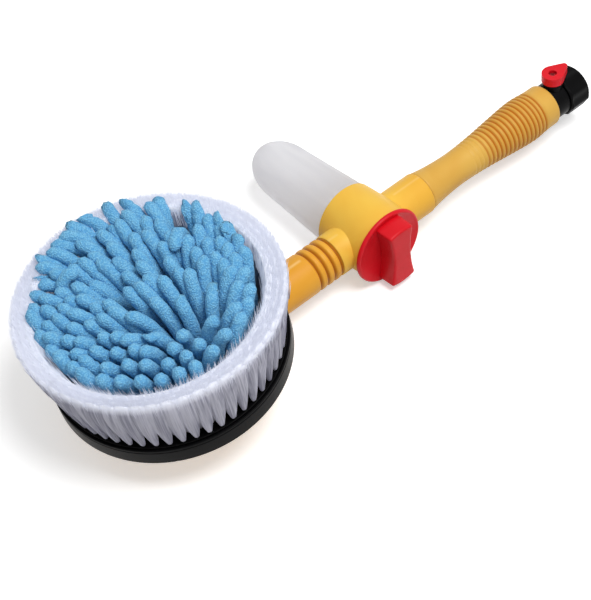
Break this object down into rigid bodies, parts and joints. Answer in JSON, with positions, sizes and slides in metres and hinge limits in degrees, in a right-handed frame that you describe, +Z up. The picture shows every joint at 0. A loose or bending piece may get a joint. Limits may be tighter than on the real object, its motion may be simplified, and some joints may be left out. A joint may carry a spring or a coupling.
{
  "type": "rotary hose brush",
  "caption": "Water-driven rotary wash brush: bristle and chenille head, grooved grip with ball valve and hose nut, soap bottle and mixing knob.",
  "frame": {"origin": "centre of the flat foot under the head, on the surface that the brush stands on", "axes": "+X along the handle towards the hose, +Y along the soap bottle, +Z up"},
  "size_m": [0.4505, 0.1904, 0.1053],
  "materials": {
    "yellow_plastic": "satin",
    "amber_plastic": "satin",
    "red_plastic": "satin",
    "black_plastic": "satin",
    "white_plastic": "matte",
    "bottle_plastic": "satin",
    "steel": "satin",
    "seal_rubber": "matte",
    "bristle": "matte",
    "chenille": "matte"
  },
  "bodies": {
    "frame": {"back_housing": "yellow_plastic", "gear_plate": "white_plastic", "housing_screw_1": "steel", "housing_screw_2": "steel", "housing_screw_3": "steel", "housing_screw_4": "steel", "centre_axle": "steel", "turbine_washer": "white_plastic", "axle_washer": "steel", "axle_screw": "steel", "neck_tube": "amber_plastic", "neck_head_seal": "seal_rubber", "neck_body_seal": "seal_rubber", "neck_screw": "steel", "mixing_body": "yellow_plastic", "spool_retainer": "white_plastic", "bottle_seal": "seal_rubber", "dip_tube": "bottle_plastic", "handle_grip": "yellow_plastic", "grip_seal": "seal_rubber", "valve_body": "black_plastic", "valve_seat_front": "white_plastic", "valve_seat_rear": "white_plastic", "hose_tail": "black_plastic", "hose_washer": "seal_rubber"},
    "brush": {"brush_plate": "black_plastic", "ring_gear": "white_plastic", "plate_bush": "white_plastic", "bristle_ring": "bristle", "chenille_pad": "chenille"},
    "turbine": {"turbine_wheel": "white_plastic", "sun_gear": "white_plastic"},
    "planet_1": {"planet_gear_1": "white_plastic"},
    "planet_2": {"planet_gear_2": "white_plastic"},
    "planet_3": {"planet_gear_3": "white_plastic"},
    "knob": {"mixing_knob": "red_plastic", "mixing_spool": "white_plastic", "spool_front_seal": "seal_rubber", "spool_back_seal": "seal_rubber"},
    "bottle": {"soap_bottle": "bottle_plastic"},
    "lever": {"valve_lever": "red_plastic", "valve_stem": "black_plastic", "valve_ball": "steel", "stem_seal": "seal_rubber", "lever_screw": "steel"},
    "nut": {"hose_nut": "black_plastic"}
  },
  "joints": [
    {"name": "brush_spin", "type": "hinge", "parent": "frame", "child": "brush", "pos_m": [-0.0048, 0, 0.0346], "axis": [-0.1374, 0, 0.9905], "continuous": true},
    {"name": "turbine_spin", "type": "hinge", "parent": "frame", "child": "turbine", "pos_m": [-0.0048, 0, 0.0346], "axis": [-0.1374, 0, 0.9905], "continuous": true},
    {"name": "planet_1_spin", "type": "hinge", "parent": "frame", "child": "planet_1", "pos_m": [0.01377, 0, 0.03718], "axis": [-0.1374, 0, 0.9905], "continuous": true},
    {"name": "planet_2_spin", "type": "hinge", "parent": "frame", "child": "planet_2", "pos_m": [-0.01409, 0.01624, 0.03331], "axis": [-0.1374, 0, 0.9905], "continuous": true},
    {"name": "planet_3_spin", "type": "hinge", "parent": "frame", "child": "planet_3", "pos_m": [-0.01409, -0.01624, 0.03331], "axis": [-0.1374, 0, 0.9905], "continuous": true},
    {"name": "knob_turn", "type": "hinge", "parent": "frame", "child": "knob", "pos_m": [0.1568, 0, 0.0268], "axis": [0, 1, 0], "range_deg": [0, 90]},
    {"name": "bottle_pull", "type": "slide", "parent": "frame", "child": "bottle", "axis": [0, 1, 0], "range_m": [0, 0.1]},
    {"name": "lever_turn", "type": "hinge", "parent": "frame", "child": "lever", "pos_m": [0.3321, 0, 0.0445], "axis": [0, 0, 1], "range_deg": [0, 90]},
    {"name": "nut_spin", "type": "hinge", "parent": "frame", "child": "nut", "pos_m": [0.346, 0, 0.0268], "axis": [1, 0, 0], "continuous": true}
  ],
  "couplings": [
    {"joint": "turbine_spin", "follows": "brush_spin", "ratio": -4},
    {"joint": "planet_1_spin", "follows": "brush_spin", "ratio": 2.6667},
    {"joint": "planet_2_spin", "follows": "brush_spin", "ratio": 2.6667},
    {"joint": "planet_3_spin", "follows": "brush_spin", "ratio": 2.6667}
  ]
}
